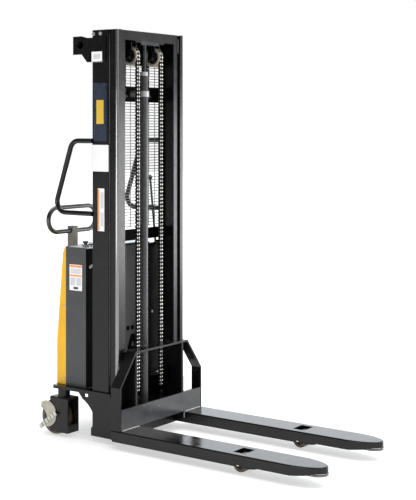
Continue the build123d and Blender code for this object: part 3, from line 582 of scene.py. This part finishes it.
def make_pulleys():
    """A grooved rim in pale metal, a dished black web, and the bearing's bright ring."""
    low, high = mm(-13.6), mm(13.6)
    groove, groove_r, inner_r = mm(10.4), mm(35.6), mm(34.6)
    rim = mm(38, 49.6, 51)
    for side in ("left", "right"):
        centre = middle(f"chain_pulley_{side}")
        bm = bmesh.new()
        section = [(rim[0], low + mm(1)), (rim[0] + mm(1), low), (rim[1], low),
                   (rim[2], low + mm(1.2)), (rim[2], -groove - mm(0.4)),
                   (rim[2] - mm(1), -groove), (groove_r, -groove), (groove_r, groove),
                   (rim[2] - mm(1), groove), (rim[2], groove + mm(0.4)),
                   (rim[2], high - mm(1.2)), (rim[1], high), (rim[0] + mm(1), high),
                   (rim[0], high - mm(1)), (inner_r, high - mm(3)), (inner_r, low + mm(3)),
                   (rim[0], low + mm(1))]
        lathe(bm, section, centre, (1, 0, 0), 64)
        ring = put(f"chain_pulley_{side}_rim", bm, f"chain_pulley_{side}", "pulley_iron", smooth=40)
        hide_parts(f"chain_pulley_{side}")
        bm = bmesh.new()
        for way in (-1, 1):
            web = [(mm(34.8), way * mm(4)), (mm(34.8), way * mm(9)), (mm(22), way * mm(7)),
                   (mm(19), way * mm(8)), (mm(18.4), way * mm(13.2)), (mm(13.2), way * mm(13.4)),
                   (mm(13.2), way * mm(2)), (mm(34.8), way * mm(4))]
            lathe(bm, web, centre, (1, 0, 0), 48)
        put(f"chain_pulley_{side}_web", bm, f"chain_pulley_{side}", "pulley_iron", ["cast_black"])


# ---- wheels and brakes ----
def make_caster_wheels():
    for side in ("left", "right"):
        body = f"caster_wheel_{side}"
        centre = middle(body)
        bm = bmesh.new()
        for way in (-1, 1):
            lathe(bm, [(mm(63), way * mm(25)), (mm(80), way * mm(25)), (mm(85), way * mm(23.6)),
                       (mm(88.6), way * mm(19.5)), (mm(89.8), way * mm(12)), (mm(90), 0)],
                  centre, (1, 0, 0), 72)
        lathe(bm, [(mm(63), mm(-25)), (mm(62), mm(-24)), (mm(62), mm(24)), (mm(63), mm(25))],
              centre, (1, 0, 0), 72)
        bmesh.ops.remove_doubles(bm, verts=bm.verts, dist=1e-5)
        tread = put(f"{body}_tread", bm, body, "nylon", ["tread"])
        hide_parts(body)
        bm = bmesh.new()
        for way in (-1, 1):
            hub = [(mm(62.2), way * mm(22)), (mm(58), way * mm(22)), (mm(55), way * mm(18)),
                   (mm(52), way * mm(9)), (mm(30), way * mm(8)), (mm(25), way * mm(14)),
                   (mm(24), way * mm(28)), (mm(10.2), way * mm(28)), (mm(10.2), 0)]
            lathe(bm, hub, centre, (1, 0, 0), 56)
        put(f"{body}_hub", bm, body, "nylon", ["cast_black"])
        bm = bmesh.new()
        for way in (-1, 1):
            seal = [(mm(22), way * mm(28)), (mm(21), way * mm(28.8)), (mm(12.5), way * mm(28.8)),
                    (mm(11), way * mm(28))]
            lathe(bm, seal, centre, (1, 0, 0), 40)
        put(f"{body}_bearing", bm, body, "bright_steel")


def make_load_wheels():
    for side in ("left", "right"):
        body = f"load_wheel_{side}"
        centre = middle(body)
        bm = bmesh.new()
        for way in (-1, 1):
            lathe(bm, [(mm(26), way * mm(35)), (mm(36), way * mm(35)), (mm(39), way * mm(33.6)),
                       (mm(40), way * mm(30)), (mm(40), 0)], centre, (1, 0, 0), 48)
            lathe(bm, [(mm(26), way * mm(35)), (mm(25), way * mm(30)), (mm(8.4), way * mm(30)),
                       (mm(8.4), 0)], centre, (1, 0, 0), 48, 1)
        bmesh.ops.remove_doubles(bm, verts=bm.verts, dist=1e-5)
        wheel = put(f"{body}_roller", bm, body, "nylon", ["tread", "cast_black"])
        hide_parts(body)


# The brake plate is a disc with a round bite, each as y, z and radius, cut off at HORN_Y.
BRAKE_DISC = mm(772, 107, 67)
BRAKE_BITE = mm(818, 86, 48)
HORN_Y = mm(815)
BRAKE_PLATE_T = mm(4)
LEVER_START = Vector(mm(0, 697, 122))
LEVER_END = Vector(mm(0, 812, 34))
LEVER_RIBS = 6
WIDE_RIBS = (1, 3, 4)


def crescent():
    """Corner points (y, z) of the brake plate, whose bite is at its rear."""
    big, bite = BRAKE_DISC, BRAKE_BITE
    gap = hypot(bite[0] - big[0], bite[1] - big[1])
    heading = atan2(bite[1] - big[1], bite[0] - big[0])
    big_half = acos((big[2] ** 2 + gap ** 2 - bite[2] ** 2) / (2 * big[2] * gap))
    bite_half = acos((bite[2] ** 2 + gap ** 2 - big[2] ** 2) / (2 * bite[2] * gap))
    turn = 180 / pi
    outer = arc(*big, (heading + big_half) * turn, (heading - big_half) * turn + 360, 40)
    inner = arc(*bite, (heading + pi + bite_half) * turn, (heading + pi - bite_half) * turn, 26)
    return outer + inner[1:-1]


def make_caster_brakes():
    """A painted crescent plate with a ribbed foot lever across it."""
    for side, way in (("left", -1), ("right", 1)):
        body = f"caster_brake_{side}"
        low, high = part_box(body)
        face = high.x if way > 0 else low.x
        root = low.x if way > 0 else high.x
        bm = bmesh.new()
        thick = way * BRAKE_PLATE_T
        prism(bm, [(root, y, z) for y, z in crescent() if y < HORN_Y], (thick, 0, 0))
        plate = put(f"{body}_plate", bm, body, "brake_cream", bevel=mm(0.8))
        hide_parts(body)
        bm = bmesh.new()
        start, end = LEVER_START, LEVER_END
        run = (end - start).normalized()
        across = Vector((0, -run.z, run.y))
        depth = face + way * mm(4.5) - root - thick
        step = (end - start).length / LEVER_RIBS
        for k in range(LEVER_RIBS):
            near = start + run * (step * (k + 0.08))
            far = start + run * (step * (k + 0.86))
            wide = across * mm(13 if k in WIDE_RIBS else 11.5)
            outline = [near - wide, near + wide, far + wide, far - wide]
            prism(bm, [Vector((root + thick, p.y, p.z)) for p in outline], (depth, 0, 0))
        spine = across * mm(8)
        outline = [start - spine, start + spine, end + spine, end - spine]
        shallow = (depth - way * mm(2), 0, 0)
        prism(bm, [Vector((root + thick, p.y, p.z)) for p in outline], shallow, 1)
        put(f"{body}_lever", bm, body, "brake_cream", ["brake_silver", "cast_black"],
            bevel=mm(0.6))


# ---- controls ----
def make_controls():
    low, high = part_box("stop_button")
    centre = (low + high) / 2
    bm = bmesh.new()
    lathe(bm, [(0, low.z), (mm(8), low.z), (mm(8), low.z + mm(9)), (mm(12), low.z + mm(10)),
               (mm(15), low.z + mm(12)), (mm(16), low.z + mm(15)), (mm(16), high.z - mm(3)),
               (mm(14.5), high.z - mm(0.9)), (mm(11), high.z - mm(0.1)), (0, high.z)],
          (centre.x, centre.y, 0), (0, 0, 1), 48)
    button = put("stop_button_head", bm, "stop_button", "black_plastic")
    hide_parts("stop_button")
    low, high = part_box("key_switch")
    centre = (low + high) / 2
    bm = bmesh.new()
    barrel = low.z + mm(15)
    lathe(bm, [(0, low.z), (mm(4), low.z), (mm(4), low.z + mm(9.4)), (mm(11.4), low.z + mm(9.4)),
               (mm(12), low.z + mm(10)), (mm(12), barrel - mm(0.8)), (mm(11.2), barrel),
               (0, barrel)], (centre.x, centre.y, 0), (0, 0, 1), 40)
    bow = rounded(centre.y - mm(11), centre.y + mm(11), barrel, high.z, mm(3))
    prism(bm, [(centre.x - mm(1.6), y, z) for y, z in bow], (mm(3.2), 0, 0), 1)
    key = put("key_switch_turned", bm, "key_switch", "black_plastic",
              ["black_plastic", "bright_steel"], bevel=mm(0.5))
    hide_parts("key_switch")


# ---- power box front ----
BOX_BOLTS_X, BOX_BOLTS_Z = (61, 98), 521
BRACKET_X = 98
COVER_LIP = mm(8)


def make_box_front():
    """A dull black face wrapped round the box's front corners as painted shade, a grey panel with
    its bolts, a small bracket, and a lip that closes the sliver beside the pump cover with painted
    shade."""
    low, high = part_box("power_box")
    face = low.y
    bm = bmesh.new()
    corner, skin = mm(10), mm(0.6)
    wide = low.x + corner, high.x - corner
    outer = (arc(wide[0], face + corner, corner + skin, 180, 270, 8)
             + arc(wide[1], face + corner, corner + skin, 270, 360, 8))
    inner = (arc(wide[1], face + corner, corner, 360, 270, 8)
             + arc(wide[0], face + corner, corner, 270, 180, 8))
    bottom = low.z + mm(2)
    prism(bm, [(x, y, bottom) for x, y in outer + inner], (0, 0, high.z - mm(2) - bottom))
    put("power_box_front_skin", bm, "chassis", "frame_paint", ["deep_black"])
    bm = bmesh.new()
    panel = rounded(mm(-130), mm(130), low.z + mm(8), high.z - mm(6), mm(3))
    prism(bm, [(x, face - mm(0.6), z) for x, z in panel], (0, -mm(1.4), 0))
    put("power_box_front_panel", bm, "chassis", "box_paint", ["panel_grey"], bevel=mm(0.4))
    bm = bmesh.new()
    for x in mm(*BOX_BOLTS_X):
        head = [(0, 0), (mm(12), 0), (mm(12), mm(3)), (mm(11), mm(4.5)), (0, mm(5))]
        lathe(bm, head, (x, face - mm(2), mm(BOX_BOLTS_Z)), (0, -1, 0), 20)
    put("power_box_front_bolts", bm, "chassis", "black_plastic", ["deep_black"])
    bm = bmesh.new()
    for way in (-1, 1):
        leg = [(0, 486), (11, 486), (38, 418), (21, 418), (0, 464)]
        outline = [(mm(BRACKET_X + way * x), face - mm(2), mm(z)) for x, z in leg]
        prism(bm, outline, (0, -mm(8), 0))
    slab(bm, (mm(BRACKET_X - 38), face - mm(8), mm(406)),
         (mm(BRACKET_X + 38), face - mm(2), mm(420)))
    put("power_box_front_bracket", bm, "chassis", "black_plastic", ["deep_black"], bevel=mm(0.6))
    cover_low, cover_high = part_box("pump_cover")
    bm = bmesh.new()
    slab(bm, (cover_high.x, cover_low.y, cover_low.z),
         (cover_high.x + COVER_LIP, cover_low.y + mm(2), cover_high.z))
    put("pump_cover_lip", bm, "chassis", "frame_paint", ["deep_black"])


def make_rail_edges():
    """A glossy strip round the front corner of each outer rail, lighter and far more reflective
    than the paint: a painted highlight.
    """
    corner, skin = mm(11.5), mm(0.3)
    for side, way in (("left", -1), ("right", 1)):
        low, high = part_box(f"outer_rail_{side}")
        edge = low.x if way < 0 else high.x
        cx, cy = edge - way * corner, low.y + corner
        outer = arc(0, cy, corner + skin, 172, 262, 12)
        inner = arc(0, cy, corner, 262, 172, 12)
        bottom = mm(258)
        bm = bmesh.new()
        outline = [(cx - way * x, y, bottom) for x, y in outer + inner]
        prism(bm, outline, (0, 0, high.z - mm(1) - bottom))
        put(f"outer_rail_{side}_edge", bm, "chassis", "frame_paint", ["corner_highlight_gloss"])


def make_carriage_skin():
    """The cross plate's front, with rounded corners."""
    low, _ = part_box("carriage_frame")
    bm = bmesh.new()
    face = rounded(mm(-319), mm(319), mm(94.5), mm(196), mm(2))
    prism(bm, [(x, low.y, z) for x, z in face], (0, -mm(0.4), 0))
    put("carriage_front_skin", bm, "carriage", "frame_paint", ["carriage_paint"])


NOSE_X = mm(255)              # middle of a fork
NOSE_REACH, NOSE_HALF = mm(176), mm(69)
NOSE_BACK = mm(180)           # from the tip to the middle of the nose's curve
LIP_RISE, LIP_R = mm(11), mm(8)
LIP_START, LIP_SWEEP = 214, 112      # degrees round that curve
LIP_STEPS, LIP_SIDES = 24, 12


def make_nose_lips():
    """A rounded lip under the nose of each fork, tapered at both ends, in a lighter and glossier
    finish than the fork: a painted highlight.
    """
    low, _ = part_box("fork_left")
    up = Vector((0, 0, 1))
    bm = bmesh.new()
    for way in (-1, 1):
        rings = []
        for k in range(LIP_STEPS + 1):
            share = k / LIP_STEPS
            turn = radians(LIP_START + LIP_SWEEP * share)
            centre = Vector((way * NOSE_X + NOSE_HALF * cos(turn),
                             low.y + NOSE_BACK + NOSE_REACH * sin(turn), low.z + LIP_RISE))
            outward = Vector((cos(turn) / NOSE_HALF, sin(turn) / NOSE_REACH, 0)).normalized()
            radius = LIP_R * min(1.0, 0.3 + 4 * share, 0.3 + 4 * (1 - share))
            rings.append([bm.verts.new(centre + (outward * cos(t) + up * sin(t)) * radius)
                          for t in (tau * j / LIP_SIDES for j in range(LIP_SIDES))])
        skin_rings(bm, rings)
    put("fork_nose_lips", bm, "carriage", "fork_paint", ["fork_lip"], smooth=60)


# ---- labels: plain panels with generic shapes ----
def side_panel(name, x, ys, zs, layers, body="chassis", radius=3):
    """A thin label on a face that looks to -X. layers are (finish, outline in mm)."""
    bm = bmesh.new()
    base = rounded(*mm(*ys), *mm(*zs), mm(radius))
    prism(bm, [(mm(x), y, z) for y, z in base], (-mm(0.3), 0, 0))
    for k, (_, outline) in enumerate(layers[1:], 1):
        prism(bm, [(mm(x - 0.3), *mm(y, z)) for y, z in outline], (-mm(0.15), 0, 0), k)
    put(name, bm, body, "panel_silver", [finish_name for finish_name, _ in layers])


def quad(y0, y1, z0, z1):
    return [(y0, z0), (y1, z0), (y1, z1), (y0, z1)]


def make_labels():
    lug_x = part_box("lifting_lugs")[0].x * 1000
    plate_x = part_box("mast_plates")[0].x * 1000
    box_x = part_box("power_box")[0].x * 1000
    side_panel("label_lug", lug_x, (406, 477), (1920, 1970),
               [("label_white", None), ("label_grey", quad(418, 464, 1934, 1957))])
    side_panel("label_navy_panel", plate_x, (383, 471), (1520, 1812),
               [("label_navy", None), ("label_yellow", quad(403, 451, 1606, 1726))])
    side_panel("label_white_panel", plate_x, (370, 477), (1366, 1500), [("label_white", None)])
    side_panel("label_narrow", plate_x, (398, 442), (1066, 1281),
               [("label_white", None), ("label_orange", quad(431, 441, 1070, 1277)),
                ("label_grey", quad(403, 424, 1090, 1160)),
                ("label_grey", quad(403, 424, 1180, 1262))])
    side_panel("label_box", box_x, (573, 660), (749, 882),
               [("label_white", None), ("label_orange", quad(576, 657, 868, 879)),
                ("label_orange", quad(576, 657, 822, 830)),
                ("label_grey", quad(580, 653, 836, 863)), ("label_grey", quad(580, 612, 775, 815)),
                ("label_grey", quad(620, 653, 775, 815)), ("label_navy", quad(600, 632, 756, 768))])


# ---- weld beads ----
def bead(bm, start, end, radius):
    """A row of overlapping scales from start to end."""
    start, end = Vector(start), Vector(end)
    run = end - start
    count = max(2, ceil(run.length / (radius * 0.9)))
    u, v, _ = frame_of(run)
    rings = []
    for k in range(count * 2 + 1):
        share = k / (count * 2)
        swell = 1.0 if k % 2 else 0.84
        swell *= min(1.0, 0.25 + 6 * share, 0.25 + 6 * (1 - share))
        centre = start + run * share
        rings.append([bm.verts.new(centre + (u * cos(t) + v * sin(t)) * radius * swell)
                      for t in (tau * j / 8 for j in range(8))])
    skin_rings(bm, rings)


def make_welds():
    plate_low, plate_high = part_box("mast_plates")
    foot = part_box("carriage_frame")[0].y - mm(1.5)
    seam_y = plate_low.y - mm(0.8)
    bm = bmesh.new()
    for way in (-1, 1):
        bead(bm, (way * mm(182), foot, mm(93)), (way * mm(318), foot, mm(93)), mm(3.2))
        bead(bm, (way * mm(179), foot, mm(60)), (way * mm(179), foot, mm(92)), mm(3.4))
    put("weld_beads_carriage", bm, "carriage", "frame_paint", ["weld_silver"])
    bm = bmesh.new()
    for way in (-1, 1):
        x = way * (plate_high.x - mm(7.4))
        bead(bm, (x, seam_y, mm(290)), (x, seam_y, mm(2060)), mm(2.4))
        lug = way * (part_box("lifting_lugs")[1].x - mm(7.5))
        bead(bm, (lug, mm(402), mm(1917)), (lug, mm(476), mm(1917)), mm(2.4))
    put("weld_beads_mast", bm, "chassis", "frame_paint", ["weld"])


# ---- carried-over CAD nodes ----
PLAIN_EDGES = {"mesh_guard", "battery", "pump_unit"}
# The pump cover's dull near-black is painted shade.
NODE_FINISH = {"cylinder_barrel": "cylinder_paint", "cylinder_gland": "zinc",
               "push_loop": "tube_steel", "handle_post": "post_grey", "fasteners": "zinc",
               "cylinder_clamp": "zinc", "piston_rod": "dark_rod",
               # The right side handle is darker than the left one: painted shade.
               "side_handle_right": "cast_black", "pump_cover": "deep_black",
               "mast_crossmembers": "deep_black", "lift_lever": "black_plastic",
               "caster_yoke_left": "cast_black", "caster_yoke_right": "cast_black"}
BEVEL_WIDTH = {"power_box": 2.0, "rear_cover": 2.0, "outer_rail_left": 2.5, "outer_rail_right": 2.5,
               "backrest": 1.5, "shelf_plate": 1.5, "handle_post": 2.0, "fasteners": 0.6,
               "caster_yoke_left": 3.0, "caster_yoke_right": 3.0, "console_panel": 0.6}
REPLACED = {"front_chains", "rear_chains", "chain_pulley_left", "chain_pulley_right",
            "caster_wheel_left", "caster_wheel_right", "load_wheel_left", "load_wheel_right",
            "caster_brake_left", "caster_brake_right", "stop_button", "key_switch",
            "control_cable", "hydraulic_hose"}


def dress_nodes():
    slots = {part["node"]: part["material_slot"] for part in frame["record"]["subparts"]}
    for name, piece in NODES.items():
        look = FINISH[NODE_FINISH.get(name, slots[name])]
        for slot in piece.material_slots:
            slot.material = look
        if name in REPLACED or name in PLAIN_EDGES:
            continue
        weld = piece.modifiers.new("weld", "WELD")
        weld.merge_threshold = 1e-5
        round_edges(piece, mm(BEVEL_WIDTH.get(name, 1.0)))


make_camera()
make_cords()
make_lights()
make_floor()
dress_nodes()
make_chains()
make_pulleys()
make_caster_wheels()
make_load_wheels()
make_caster_brakes()
make_controls()
make_box_front()
make_rail_edges()
make_carriage_skin()
make_nose_lips()
make_labels()
make_welds()
